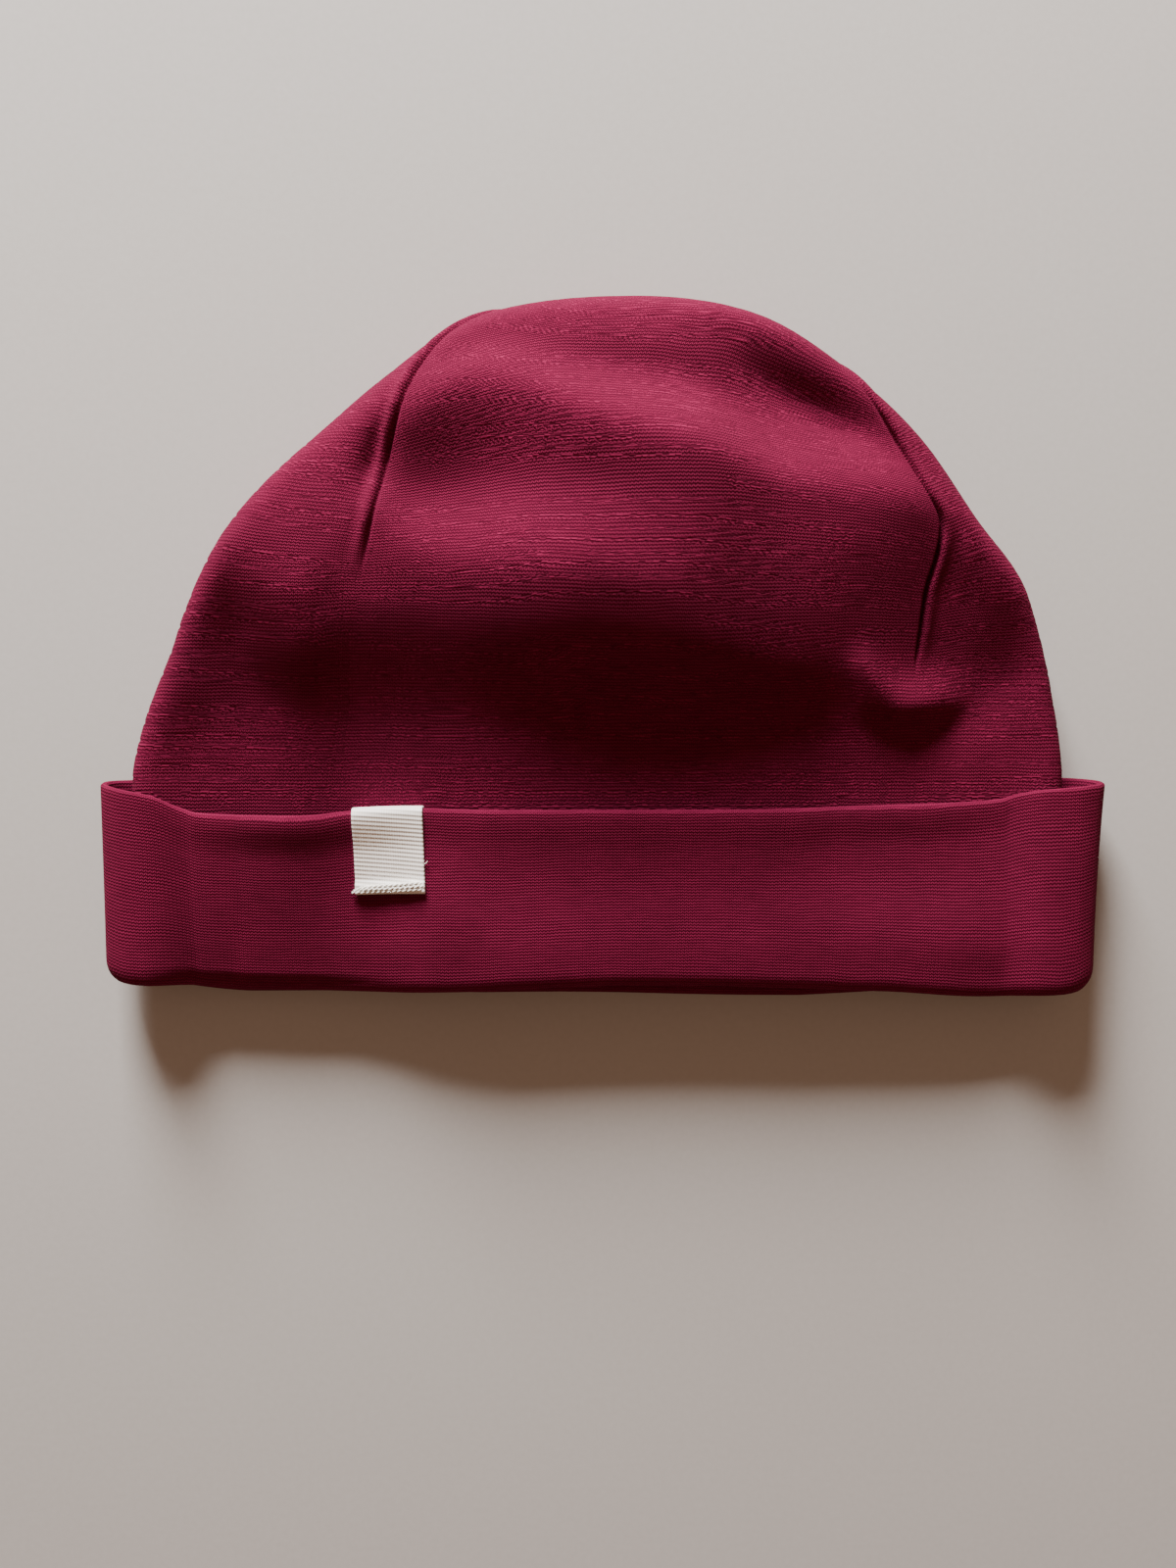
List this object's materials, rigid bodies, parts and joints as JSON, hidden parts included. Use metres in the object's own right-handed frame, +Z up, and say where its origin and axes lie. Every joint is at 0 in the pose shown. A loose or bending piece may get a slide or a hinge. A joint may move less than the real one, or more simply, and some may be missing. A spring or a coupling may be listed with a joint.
{
  "type": "child's beanie",
  "caption": "Small soft knitted-jersey beanie lying on its back, with a darted dome crown, a turned-up cuff and a bare tape label folded over the cuff's edge.",
  "frame": {"origin": "middle of the hat's underside, on the surface it lies on", "axes": "+X across the hat to the right of the label side, +Y from the mouth towards the top of the crown, +Z up from the surface it lies on"},
  "size_m": [0.2158, 0.1503, 0.0299],
  "materials": {
    "crown_jersey": "burgundy cotton jersey, doubled, matt and slightly fuzzy",
    "cuff_jersey": "burgundy cotton jersey, doubled and turned up, matt",
    "label_tape": "undyed cream twill tape, bare, with one line of white stitching"
  },
  "bodies": {
    "root": {"crown": "crown_jersey", "cuff": "cuff_jersey", "label": "label_tape"}
  },
  "joints": []
}
